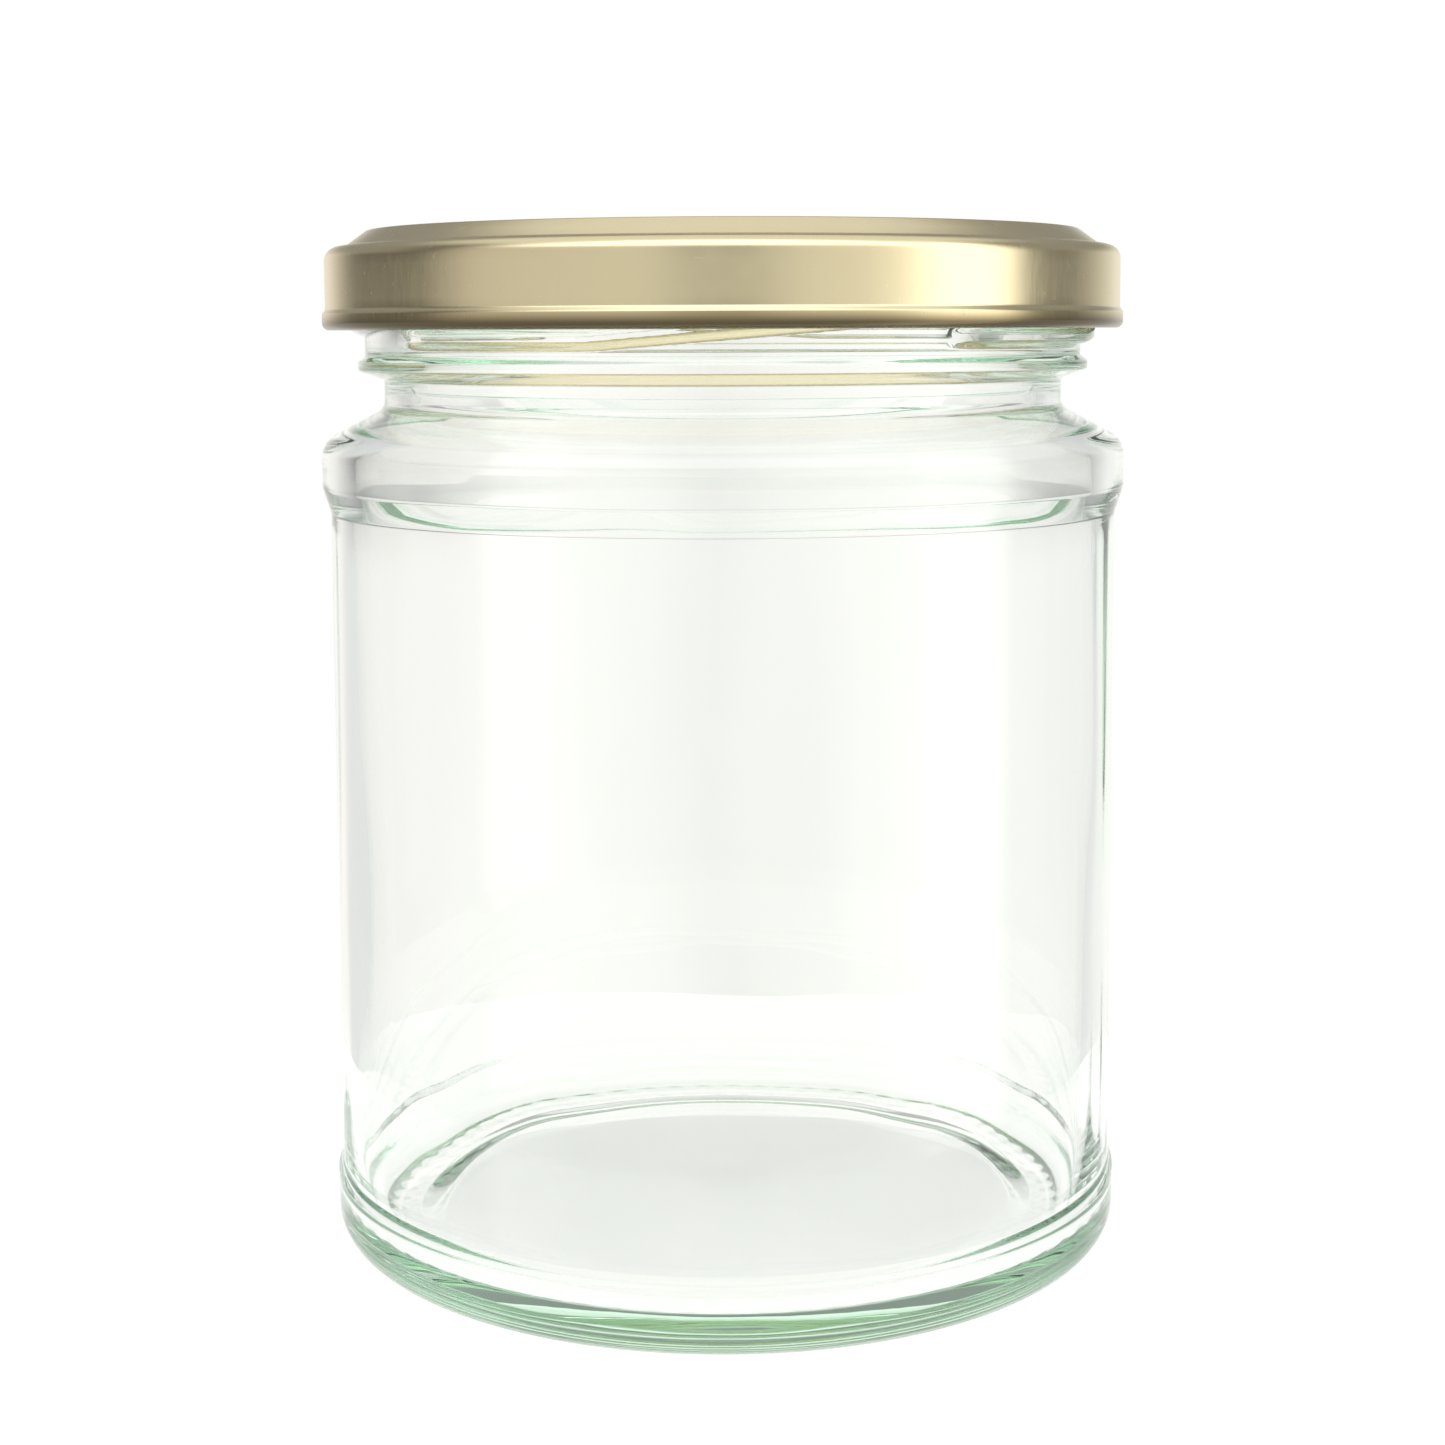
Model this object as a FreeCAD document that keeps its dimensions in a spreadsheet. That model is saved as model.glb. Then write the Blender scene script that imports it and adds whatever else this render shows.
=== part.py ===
"""Twist-off food jar: a glass jar with a four-start lug finish, a one-piece metal lid and its seal.

Frame: millimetres, +Z up, origin at the centre of the base, where the jar stands. Angles are counted
anticlockwise from +X, seen from above. The lid is shown screwed down.
"""
import FreeCAD, Part
import Sketcher
import math
import os

HORIZONTAL_AXIS = -1
VERTICAL_AXIS = -2
ORIGIN_POINT = (-1, 1)

# Driving dimensions: alias, value, what it is.
SIZES = [
    # glass, outside, from the base up
    ("push_up", 0.9, "height of the underside's centre above the standing ring"),
    ("push_up_edge_radius", 26.4, "where the raised underside starts to drop"),
    ("push_up_edge_height", 0.5, "its height there"),
    ("standing_inner_radius", 29.2, "inner edge of the standing ring"),
    ("heel_radius", 36.6, "bead at the foot of the wall"),
    ("heel_round", 3.2, "rounding between wall and base"),
    ("heel_bead_top", 6.4, "where the foot bead starts to step in"),
    ("heel_step", 1.0, "height of that step"),
    ("panel_radius", 36.13, "recessed label panel"),
    ("panel_top", 67.6, "upper end of the label panel"),
    ("shoulder_radius", 36.88, "bead at the shoulder"),
    ("shoulder_bead_foot", 69.9, "where the shoulder bead reaches full size"),
    ("shoulder_corner_height", 73.98, "wall and shoulder slope, extended, meet here"),
    ("shoulder_round", 2.3, "rounding of the shoulder"),
    ("neck_radius", 31.15, "waist between shoulder and finish"),
    ("neck_foot_height", 77.03, "shoulder slope and neck, extended, meet here"),
    ("neck_foot_round", 1.2, "rounding of that corner"),
    ("neck_top", 79.6, "underside of the ring at the neck"),
    ("ring_radius", 33.5, "ring below the thread"),
    ("ring_low", 80.45, "lower corner of the ring's edge"),
    ("ring_high", 81.25, "upper corner of the ring's edge"),
    ("finish_radius", 32.85, "wall that carries the thread"),
    ("finish_foot", 81.7, "foot of that wall"),
    ("rim_height", 91.75, "sealing rim"),
    ("rim_round_out", 1.0, "outer rounding of the rim"),
    ("rim_round_in", 0.8, "inner rounding of the rim"),
    ("soft_round", 0.25, "rounding of the glass's small corners"),
    ("bead_round", 1.2, "rounding where panel and beads meet"),
    # glass, inside, from the mouth down
    ("bore_radius", 30.0, "mouth"),
    ("bore_foot", 82.0, "where the mouth narrows to the neck"),
    ("neck_bore_radius", 28.95, "inside of the neck"),
    ("neck_bore_top", 78.6, "upper end of the narrowest stretch"),
    ("neck_bore_foot", 76.5, "lower end of the narrowest stretch"),
    ("inner_shoulder_height", 73.5, "inside of the shoulder meets the inner wall"),
    ("inner_shoulder_round", 2.2, "rounding there"),
    ("wall", 2.25, "thickness of the wall at the panel"),
    ("floor_edge", 2.9, "floor beside the wall"),
    ("floor_middle", 4.0, "floor at the centre"),
    ("floor_round", 3.2, "rounding between floor and wall"),
    ("inside_round", 1.8, "rounding of the other inner corners"),
    # thread
    ("thread_starts", 4, "threads round the finish"),
    ("thread_lead", 17.2, "rise of a thread in one full turn"),
    ("thread_angle", 35.0, "where the first thread begins"),
    ("thread_level_angle", 36.0, "angle over which a thread stays level"),
    ("thread_ramp_angle", 87.0, "angle over which it then climbs"),
    ("thread_height", 83.3, "middle of the level stretch"),
    ("thread_crest_radius", 34.15, "crest"),
    ("thread_root_half", 0.8, "half the thread's height at its root"),
    ("thread_crest_half", 0.4, "half the thread's height at its crest"),
    ("thread_bite", 0.35, "how far the root reaches into the wall"),
    # lid
    ("sheet", 0.25, "tinplate with its lacquer"),
    ("lid_top", 93.0, "top of the raised ring"),
    ("panel_height", 92.05, "sunken middle panel"),
    ("panel_edge_radius", 28.8, "edge of the middle panel"),
    ("raised_inner_radius", 29.5, "inner edge of the raised ring"),
    ("raised_outer_radius", 32.6, "outer edge of the raised ring"),
    ("crease_radius", 34.5, "crease between ring and skirt corner"),
    ("crease_height", 91.6, "height of that crease"),
    ("skirt_radius", 36.37, "outside of the skirt"),
    ("skirt_top", 91.45, "top and skirt, extended, meet here"),
    ("skirt_round", 1.25, "rounding of that corner"),
    ("skirt_foot", 85.95, "where the skirt flares into the curl"),
    ("curl_radius", 36.65, "outside of the curl"),
    ("curl_flare_height", 85.55, "where the curl reaches full size"),
    ("curl_bottom", 84.1, "lowest edge of the lid"),
    ("curl_width", 1.4, "width of the curl"),
    ("curl_height", 1.35, "height of the rolled-in edge"),
    ("curl_lip", 0.5, "how far the rolled-in edge turns back"),
    ("curl_round", 0.62, "rounding of the curl"),
    ("press_round", 0.4, "rounding of the other pressed corners"),
    # lugs
    ("lug_tip_radius", 33.3, "innermost reach of a lug"),
    ("lug_bottom", 84.35, "underside of a lug"),
    ("lug_top", 85.25, "face that bears on the thread"),
    ("lug_root_radius", 35.45, "where a lug grows out of the curl"),
    ("lug_angle", 40.7, "where the first lug begins"),
    ("lug_width_angle", 17.0, "angle that a lug spans"),
    ("lug_round", 0.3, "rounding of its tip"),
    # seal
    ("seal_inner_radius", 29.8, "inner edge of the sealing compound"),
    ("seal_outer_radius", 33.4, "outer edge of the sealing compound"),
    ("seal_shelf_radius", 32.3, "outer edge of its top, under the raised ring"),
    ("seal_bottom", 91.8, "face that presses on the rim"),
    ("seal_top", 92.72, "face under the raised ring"),
    ("seal_edge", 0.2, "thickness at the outer edge"),
]


class Size:
    """A number together with the expression that gives it from the spreadsheet."""

    def __init__(self, value, text):
        self.value = value
        self.text = text

    def __add__(self, other):
        return Size(self.value + other.value, f"({self.text} + {other.text})")

    def __sub__(self, other):
        return Size(self.value - other.value, f"({self.text} - {other.text})")

    def __mul__(self, other):
        return Size(self.value * other.value, f"({self.text} * {other.text})")


ZERO = Size(0.0, "0")


def new_sheet(doc):
    """Put the driving dimensions into a spreadsheet, one alias for each."""
    sheet = doc.addObject("Spreadsheet::Sheet", "Sizes")
    for row, (alias, value, note) in enumerate(SIZES, start=1):
        sheet.set(f"A{row}", alias)
        sheet.set(f"B{row}", str(value))
        sheet.setAlias(f"B{row}", alias)
        sheet.set(f"C{row}", note)
    doc.recompute()
    return sheet


def from_sheet(sheet, alias):
    """The size that the sheet keeps under an alias."""
    return Size(float(sheet.get(alias)), f"Sizes.{alias}")


def new_body(doc, name):
    """A body whose label is the name of its file."""
    body = doc.addObject("PartDesign::Body", name)
    body.Label = name
    return body


def section_sketch(body, name, angle=ZERO):
    """A sketch on the body's XZ plane, turned about Z by an angle in degrees."""
    sketch = body.newObject("Sketcher::SketchObject", name)
    plane = [item for item in body.Origin.OriginFeatures if item.Role == "XZ_Plane"][0]
    sketch.AttachmentSupport = [(plane, "")]
    sketch.MapMode = "FlatFace"
    if angle is not ZERO:
        turn = FreeCAD.Rotation(FreeCAD.Vector(0, 1, 0), angle.value)
        sketch.AttachmentOffset = FreeCAD.Placement(FreeCAD.Vector(), turn)
        sketch.setExpression("AttachmentOffset.Rotation.Angle", angle.text)
    return sketch


def bind(sketch, constraint, size):
    """Add a dimension and tie it to the sheet."""
    index = sketch.addConstraint(constraint)
    sketch.setExpression(f"Constraints[{index}]", size.text)


def place_point(sketch, geometry, end, across, up):
    """Hold one point of the sketch at a radius and a height."""
    for kind, size, axis in (("DistanceX", across, VERTICAL_AXIS), ("DistanceY", up, HORIZONTAL_AXIS)):
        if size is ZERO:
            sketch.addConstraint(Sketcher.Constraint("PointOnObject", geometry, end, axis))
        else:
            bind(sketch, Sketcher.Constraint(kind, *ORIGIN_POINT, geometry, end, size.value), size)


def round_corner(before, corner, after, radius):
    """Where a rounding meets its two lines, its centre, and whether the path turns left there."""
    back = (before - corner).normalize()
    ahead = (after - corner).normalize()
    half = back.getAngle(ahead) / 2
    cut = radius / math.tan(half)
    centre = corner + (back + ahead).normalize() * (radius / math.sin(half))
    turns_left = ahead.cross(back).z > 0
    return corner + back * cut, corner + ahead * cut, centre, turns_left


def add_arc(sketch, first, last, centre, turns_left):
    """Add the arc of a rounding; return its index and which of its ends comes first on the path."""
    start, stop = (first, last) if turns_left else (last, first)
    circle = Part.Circle(centre, FreeCAD.Vector(0, 0, 1), (first - centre).Length)
    angles = [math.atan2(point.y - centre.y, point.x - centre.x) for point in (start, stop)]
    arc = sketch.addGeometry(Part.ArcOfCircle(circle, *angles))
    return arc, (1 if turns_left else 2), (2 if turns_left else 1)


def draw_path(sketch, points, radii):
    """Draw a closed path with rounded corners; return each line, and each arc or None, by corner."""
    count = len(points)
    cuts = []
    for i in range(count):
        if radii[i] is None:
            cuts.append((points[i], points[i], None, None))
        else:
            neighbours = points[i - 1], points[i], points[(i + 1) % count]
            cuts.append(round_corner(*neighbours, radii[i].value))
    lines = [
        sketch.addGeometry(Part.LineSegment(cuts[i][1], cuts[(i + 1) % count][0])) for i in range(count)
    ]
    arcs = []
    for i in range(count):
        if radii[i] is None:
            sketch.addConstraint(Sketcher.Constraint("Coincident", lines[i - 1], 2, lines[i], 1))
            arcs.append(None)
            continue
        arc, entry, leave = add_arc(sketch, *cuts[i])
        sketch.addConstraint(Sketcher.Constraint("Tangent", lines[i - 1], 2, arc, entry))
        sketch.addConstraint(Sketcher.Constraint("Tangent", arc, leave, lines[i], 1))
        bind(sketch, Sketcher.Constraint("Radius", arc, radii[i].value), radii[i])
        arcs.append(arc)
    return lines, arcs


def hold_corner(sketch, lines, i, point, rounded, across, up):
    """Hold the i-th corner of a path; a rounded corner is where its two lines would meet."""
    if not rounded:
        place_point(sketch, lines[i], 1, across, up)
        return
    corner = sketch.addGeometry(Part.Point(point), True)
    place_point(sketch, corner, 1, across, up)
    for line in (lines[i - 1], lines[i]):
        sketch.addConstraint(Sketcher.Constraint("PointOnObject", corner, 1, line))


def draw_outline(sketch, corners):
    """Draw a closed outline from corners, each a radius, a height and a rounding or None."""
    points = [FreeCAD.Vector(across.value, up.value, 0) for across, up, _ in corners]
    radii = [rounding for _, _, rounding in corners]
    lines, _ = draw_path(sketch, points, radii)
    for i, (across, up, rounding) in enumerate(corners):
        hold_corner(sketch, lines, i, points[i], rounding is not None, across, up)


def offset_corners(points, distance):
    """The corners of the path that runs a distance to the left of an open path."""
    directions = [(b - a).normalize() for a, b in zip(points, points[1:])]
    normals = [FreeCAD.Vector(-d.y, d.x, 0) for d in directions]
    moved = [points[0] + normals[0] * distance]
    for i in range(1, len(points) - 1):
        bisector = (normals[i - 1] + normals[i]).normalize()
        moved.append(points[i] + bisector * (distance / bisector.dot(normals[i])))
    moved.append(points[-1] + normals[-1] * distance)
    return moved


def draw_sheet_metal(sketch, corners, thickness):
    """Draw bent sheet from its outer face, which starts on the axis; the other face is to its right."""
    outer = [FreeCAD.Vector(across.value, up.value, 0) for across, up, _ in corners]
    inner = offset_corners(outer, -thickness.value)
    outer_radii = [rounding for _, _, rounding in corners]
    inner_radii = [None]
    for i in range(1, len(outer) - 1):
        turn = (outer[i] - outer[i - 1]).cross(outer[i + 1] - outer[i]).z
        inner_radii.append(outer_radii[i] - thickness if turn < 0 else outer_radii[i] + thickness)
    inner_radii.append(None)
    points = outer + inner[::-1]
    lines, _ = draw_path(sketch, points, outer_radii + inner_radii[::-1])
    for i, (across, up, rounding) in enumerate(corners):
        hold_corner(sketch, lines, i, outer[i], rounding is not None, across, up)
    count = len(outer)
    for i in range(count - 1):
        other_face = lines[2 * count - 2 - i]
        sketch.addConstraint(Sketcher.Constraint("Parallel", lines[i], other_face))
        bind(sketch, Sketcher.Constraint("Distance", other_face, 1, lines[i], thickness.value), thickness)
    sketch.addConstraint(Sketcher.Constraint("Perpendicular", lines[count - 1], lines[count - 2]))
    sketch.addConstraint(Sketcher.Constraint("PointOnObject", lines[-1], 1, VERTICAL_AXIS))


def revolve(body, sketch, name, angle=None):
    """Turn a section about Z, anticlockwise from above, by an angle or all the way round."""
    feature = body.newObject("PartDesign::Revolution", name)
    feature.Profile = sketch
    feature.ReferenceAxis = (sketch, ["V_Axis"])
    feature.Angle = 360 if angle is None else angle.value
    if angle is not None:
        feature.setExpression("Angle", angle.text)
    return feature


def repeat_round(body, features, name, count):
    """Repeat features evenly about Z and make the result the body's tip."""
    axis = [item for item in body.Origin.OriginFeatures if item.Role == "Z_Axis"][0]
    pattern = body.newObject("PartDesign::PolarPattern", name)
    pattern.Originals = features
    pattern.Axis = (axis, [""])
    pattern.Angle = 360
    pattern.Occurrences = int(count.value)
    pattern.setExpression("Occurrences", count.text)
    body.Tip = pattern


def make_jar_glass(doc, size):
    """Moulded glass: the blown body with its beads, neck and finish, then the thread's four starts."""
    body = new_body(doc, "jar_glass")
    soft = size("soft_round")
    panel = size("panel_radius")
    inner_wall = panel - size("wall")
    outline = section_sketch(body, "glass_section")
    draw_outline(outline, [
        (ZERO, size("push_up"), None),
        (size("push_up_edge_radius"), size("push_up_edge_height"), size("inside_round")),
        (size("standing_inner_radius"), ZERO, soft),
        (size("heel_radius"), ZERO, size("heel_round")),
        (size("heel_radius"), size("heel_bead_top"), soft),
        (panel, size("heel_bead_top") + size("heel_step"), soft),
        (panel, size("panel_top"), size("bead_round")),
        (size("shoulder_radius"), size("shoulder_bead_foot"), size("bead_round")),
        (size("shoulder_radius"), size("shoulder_corner_height"), size("shoulder_round")),
        (size("neck_radius"), size("neck_foot_height"), size("neck_foot_round")),
        (size("neck_radius"), size("neck_top"), soft),
        (size("ring_radius"), size("ring_low"), soft),
        (size("ring_radius"), size("ring_high"), soft),
        (size("finish_radius"), size("finish_foot"), soft),
        (size("finish_radius"), size("rim_height"), size("rim_round_out")),
        (size("bore_radius"), size("rim_height"), size("rim_round_in")),
        (size("bore_radius"), size("bore_foot"), size("inside_round")),
        (size("neck_bore_radius"), size("neck_bore_top"), size("inside_round")),
        (size("neck_bore_radius"), size("neck_bore_foot"), size("inside_round")),
        (inner_wall, size("inner_shoulder_height"), size("inner_shoulder_round")),
        (inner_wall, size("floor_edge"), size("floor_round")),
        (ZERO, size("floor_middle"), None),
    ])
    revolve(body, outline, "blown_glass")

    level_section = section_sketch(body, "thread_level_section", size("thread_angle"))
    draw_thread_section(level_section, size)
    level = revolve(body, level_section, "thread_level", size("thread_level_angle"))

    ramp_angle = size("thread_angle") + size("thread_level_angle")
    ramp_section = section_sketch(body, "thread_ramp_section", ramp_angle)
    draw_thread_section(ramp_section, size)
    ramp = body.newObject("PartDesign::AdditiveHelix", "thread_ramp")
    ramp.Profile = ramp_section
    ramp.ReferenceAxis = (ramp_section, ["V_Axis"])
    ramp.Mode = "pitch-height-angle"
    ramp.setExpression("Pitch", size("thread_lead").text)
    ramp.setExpression("Height", (size("thread_lead") * size("thread_ramp_angle")).text + " / 360")
    repeat_round(body, [level, ramp], "thread_starts", size("thread_starts"))
    return body


def draw_thread_section(sketch, size):
    """The section of a thread: a low trapezium that reaches a little into the wall."""
    root = size("finish_radius") - size("thread_bite")
    crest = size("thread_crest_radius")
    middle = size("thread_height")
    soft = size("soft_round")
    draw_outline(sketch, [
        (root, middle - size("thread_root_half"), None),
        (crest, middle - size("thread_crest_half"), soft),
        (crest, middle + size("thread_crest_half"), soft),
        (root, middle + size("thread_root_half"), None),
    ])


def make_lid_shell(doc, size):
    """Pressed tinplate: raised ring, skirt and rolled curl, with four lugs pushed in from the curl."""
    body = new_body(doc, "lid_shell")
    press = size("press_round")
    curl_inner = size("curl_radius") - size("curl_width")
    curl_end_height = size("curl_bottom") + size("curl_height")
    outline = section_sketch(body, "sheet_section")
    draw_sheet_metal(outline, [
        (ZERO, size("panel_height"), None),
        (size("panel_edge_radius"), size("panel_height"), press),
        (size("raised_inner_radius"), size("lid_top"), press),
        (size("raised_outer_radius"), size("lid_top"), press),
        (size("crease_radius"), size("crease_height"), press),
        (size("skirt_radius"), size("skirt_top"), size("skirt_round")),
        (size("skirt_radius"), size("skirt_foot"), press),
        (size("curl_radius"), size("curl_flare_height"), press),
        (size("curl_radius"), size("curl_bottom"), size("curl_round")),
        (curl_inner, size("curl_bottom"), size("curl_round")),
        (curl_inner, curl_end_height, press),
        (curl_inner + size("curl_lip"), curl_end_height, None),
    ], size("sheet"))
    revolve(body, outline, "pressed_sheet")

    lug_section = section_sketch(body, "lug_section", size("lug_angle"))
    draw_outline(lug_section, [
        (size("lug_tip_radius"), size("lug_bottom"), size("lug_round")),
        (size("lug_root_radius"), size("lug_bottom"), None),
        (size("lug_root_radius"), size("lug_top"), None),
        (size("lug_tip_radius"), size("lug_top"), size("lug_round")),
    ])
    lug = revolve(body, lug_section, "lug", size("lug_width_angle"))
    repeat_round(body, [lug], "lugs", size("thread_starts"))
    return body


def make_sealing_gasket(doc, size):
    """Sealing compound: a soft ring flowed into the lid's raised ring, pressed on by the rim."""
    body = new_body(doc, "sealing_gasket")
    outline = section_sketch(body, "seal_section")
    soft = size("soft_round")
    draw_outline(outline, [
        (size("seal_inner_radius"), size("seal_bottom"), soft),
        (size("seal_outer_radius"), size("seal_bottom"), None),
        (size("seal_outer_radius"), size("seal_bottom") + size("seal_edge"), None),
        (size("seal_shelf_radius"), size("seal_top"), None),
        (size("seal_inner_radius"), size("seal_top"), soft),
    ])
    revolve(body, outline, "flowed_ring")
    return body


def check_objects(doc, bodies):
    """Stop if an object failed to build or a sub-part's shape isn't one valid solid."""
    for item in doc.Objects:
        if "Invalid" in item.State or "Error" in item.State:
            raise RuntimeError(f"{item.Name}: {item.State}")
    for body in bodies:
        shape = body.Shape
        if shape.isNull() or not shape.isValid() or len(shape.Solids) != 1:
            raise RuntimeError(f"{body.Label}: the shape isn't one valid solid")


def build():
    """Build the document and write one STEP file for each sub-part."""
    doc = FreeCAD.newDocument("jar")
    sheet = new_sheet(doc)

    def size(alias):
        return from_sheet(sheet, alias)

    bodies = [make_jar_glass(doc, size), make_lid_shell(doc, size), make_sealing_gasket(doc, size)]
    for body in bodies:
        body.Placement = FreeCAD.Placement()
    doc.recompute()
    check_objects(doc, bodies)
    os.makedirs("parts", exist_ok=True)
    for body in bodies:
        body.Shape.exportStep(f"parts/{body.Label}.step")
        print(f"{body.Label}: {body.Shape.Volume:.0f} mm3, box {body.Shape.BoundBox}")


build()
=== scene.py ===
import math

import bpy
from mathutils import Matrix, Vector


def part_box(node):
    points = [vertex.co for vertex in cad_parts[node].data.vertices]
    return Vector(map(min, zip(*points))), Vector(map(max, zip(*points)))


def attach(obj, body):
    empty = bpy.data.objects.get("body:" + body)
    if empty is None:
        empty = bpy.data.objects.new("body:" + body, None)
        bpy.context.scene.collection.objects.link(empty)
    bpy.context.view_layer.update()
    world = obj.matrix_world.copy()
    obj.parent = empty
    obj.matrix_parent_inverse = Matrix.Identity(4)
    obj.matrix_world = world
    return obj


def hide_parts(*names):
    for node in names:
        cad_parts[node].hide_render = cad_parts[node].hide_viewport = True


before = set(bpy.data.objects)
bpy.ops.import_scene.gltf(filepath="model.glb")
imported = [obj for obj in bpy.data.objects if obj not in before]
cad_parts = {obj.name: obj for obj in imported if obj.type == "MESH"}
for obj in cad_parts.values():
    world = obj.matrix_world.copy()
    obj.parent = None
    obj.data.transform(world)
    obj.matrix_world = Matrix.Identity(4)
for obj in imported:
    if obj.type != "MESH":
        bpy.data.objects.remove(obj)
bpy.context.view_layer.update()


# ---------------------------------------------------------------------------------------------------
# The jar. One piece of soda-lime glass, blown in a mould: base, panelled wall, shoulder, neck, ring and
# the four-start thread. A mould leaves soft corners, a slightly uneven wall inside, two faint seams and
# a row of small radial ticks on the ring that it stands on.

MM = 0.001
_, glass_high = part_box("jar_glass")

# Radii, first outside and then inside.
SHOULDER_RADIUS = glass_high.x
PUSH_UP_RADIUS = 26.4 * MM
STANDING_RADIUS = 29.2 * MM
HEEL_RADIUS = SHOULDER_RADIUS - 0.28 * MM
PANEL_RADIUS = SHOULDER_RADIUS - 0.75 * MM
NECK_RADIUS = SHOULDER_RADIUS - 5.73 * MM
RING_RADIUS = SHOULDER_RADIUS - 3.38 * MM
FINISH_RADIUS = SHOULDER_RADIUS - 4.03 * MM
BORE_RADIUS = SHOULDER_RADIUS - 6.88 * MM
NECK_BORE_RADIUS = SHOULDER_RADIUS - 7.93 * MM
WALL = 2.25 * MM
INNER_WALL = PANEL_RADIUS - WALL

# Heights above the ground, outside from the base up and then inside from the rim down.
PUSH_UP_MIDDLE = 0.9 * MM
PUSH_UP_EDGE = 0.5 * MM
HEEL_HEAD = 6.4 * MM
PANEL_FOOT = 7.4 * MM
PANEL_HEAD = 67.6 * MM
SHOULDER_FOOT = 69.9 * MM
SHOULDER_HEAD = 73.98 * MM
NECK_FOOT = 77.03 * MM
NECK_HEAD = 79.6 * MM
RING_FOOT = 80.45 * MM
RING_HEAD = 81.25 * MM
FINISH_FOOT = 81.7 * MM
RIM_HEIGHT = glass_high.z
BORE_FOOT = 82.0 * MM
NECK_BORE_HEAD = 78.6 * MM
NECK_BORE_FOOT = 76.5 * MM
INNER_WALL_HEAD = 73.5 * MM
INNER_WALL_FOOT = 2.9 * MM
INNER_BASE_MIDDLE = 4.0 * MM

# Roundings that more than one corner has.
CRISP = 0.25 * MM
SOFT = 0.35 * MM
GENTLE = 1.2 * MM
INNER_ROUND = 1.8 * MM
HEEL_ROUND = 3.2 * MM

# The threads: each has a level stretch at its low end and then climbs.
THREAD_STARTS = 4
THREAD_LEAD = 17.2 * MM
THREAD_HEIGHT = 83.3 * MM
THREAD_DEPTH = 1.3 * MM
THREAD_HALF_FOOT = 0.88 * MM
THREAD_HALF_CREST = 0.34 * MM
FIRST_THREAD = math.radians(35)
THREAD_LEVEL = math.radians(36)
THREAD_SPAN = math.radians(123)
THREAD_FADE_IN = math.radians(9)
THREAD_FADE_OUT = 0.2

# Marks of the mould.
SEAM_ANGLE = math.radians(12)
SEAM_EDGE = 0.9990
SEAM_DEPTH = 0.03 * MM
TICK_COUNT = 64
TICK_DEPTH = 0.04 * MM
UNEVENNESS = 0.7 * MM
UNEVEN_STRETCH = (1.0, 1.0, 0.35)

JAR_SEGMENTS = 320
ARC_STEP = math.radians(9)
FADE_PART = 1 / 16
WELD = 0.001 * MM


def rotate_flat(vector, angle):
    """A flat vector turned anticlockwise."""
    cos, sin = math.cos(angle), math.sin(angle)
    return Vector((vector.x * cos - vector.y * sin, vector.x * sin + vector.y * cos))


def round_corner(before, corner, after, radius):
    """The points of the arc that rounds a corner of an outline."""
    back = (before - corner).normalized()
    ahead = (after - corner).normalized()
    half = back.angle(ahead) / 2
    centre = corner + (back + ahead).normalized() * (radius / math.sin(half))
    first = corner + back * (radius / math.tan(half)) - centre
    last = corner + ahead * (radius / math.tan(half)) - centre
    sweep = first.angle_signed(last)
    steps = max(2, math.ceil(abs(sweep) / ARC_STEP))
    return [centre + rotate_flat(first, -sweep * i / steps) for i in range(steps + 1)]


def rounded_outline(corners):
    """Points of an open outline, each (point, mark, weight).

    The corners are (radius, height, rounding, pieces, mark). The straight run after a corner is cut into
    its number of pieces. Points inside that run carry its mark and a weight, which is 1 along the run and
    fades at both ends."""
    flat = [Vector(corner[:2]) for corner in corners]
    arcs = []
    for i, (_, _, rounding, _, _) in enumerate(corners):
        if rounding:
            arcs.append(round_corner(flat[i - 1], flat[i], flat[i + 1], rounding))
        else:
            arcs.append([flat[i]])
    points = []
    for i, (_, _, _, pieces, mark) in enumerate(corners):
        points += [(point, "", 0.0) for point in arcs[i]]
        if i + 1 < len(corners):
            start, end = arcs[i][-1], arcs[i + 1][0]
            for cut in range(1, pieces):
                share = cut / pieces
                weight = min(1.0, share / FADE_PART, (1 - share) / FADE_PART)
                points.append((start.lerp(end, share), mark, weight))
    return points


def outline_object(name, points, marks):
    """A mesh that holds an outline in the XZ plane, with one weight for each kind of mark."""
    mesh = bpy.data.meshes.new(name)
    edges = [(i, i + 1) for i in range(len(points) - 1)]
    mesh.from_pydata([(point.x, 0.0, point.y) for point, _, _ in points], edges, [])
    for mark in marks:
        weights = [weight if own == mark else 0.0 for _, own, weight in points]
        mesh.attributes.new(mark, "FLOAT", "POINT").data.foreach_set("value", weights)
    piece = bpy.data.objects.new(name, mesh)
    bpy.context.scene.collection.objects.link(piece)
    return piece


def find_socket(sockets, key):
    """A node's socket by number, or the one in use of that name."""
    if isinstance(key, int):
        return sockets[key]
    return [socket for socket in sockets if socket.name == key and socket.enabled][0]


def add_node(tree, kind, settings=None, inputs=None):
    """Add a node. Its inputs are values, or the sockets that feed them."""
    node = tree.nodes.new(kind)
    for name, value in (settings or {}).items():
        setattr(node, name, value)
    for key, value in (inputs or {}).items():
        socket = find_socket(node.inputs, key)
        if isinstance(value, bpy.types.NodeSocket):
            tree.links.new(value, socket)
        else:
            socket.default_value = value
    return node


def calc(tree, operation, *values):
    """The result of a Math node."""
    node = add_node(tree, "ShaderNodeMath", {"operation": operation}, dict(enumerate(values)))
    return node.outputs[0]


def ease(tree, value, zero_at, one_at):
    """A smooth step from 0 to 1 as value goes from zero_at to one_at."""
    node = add_node(tree, "ShaderNodeMapRange", {"interpolation_type": "SMOOTHSTEP"},
                    {"Value": value, "From Min": zero_at, "From Max": one_at})
    return find_socket(node.outputs, "Result")


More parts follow.
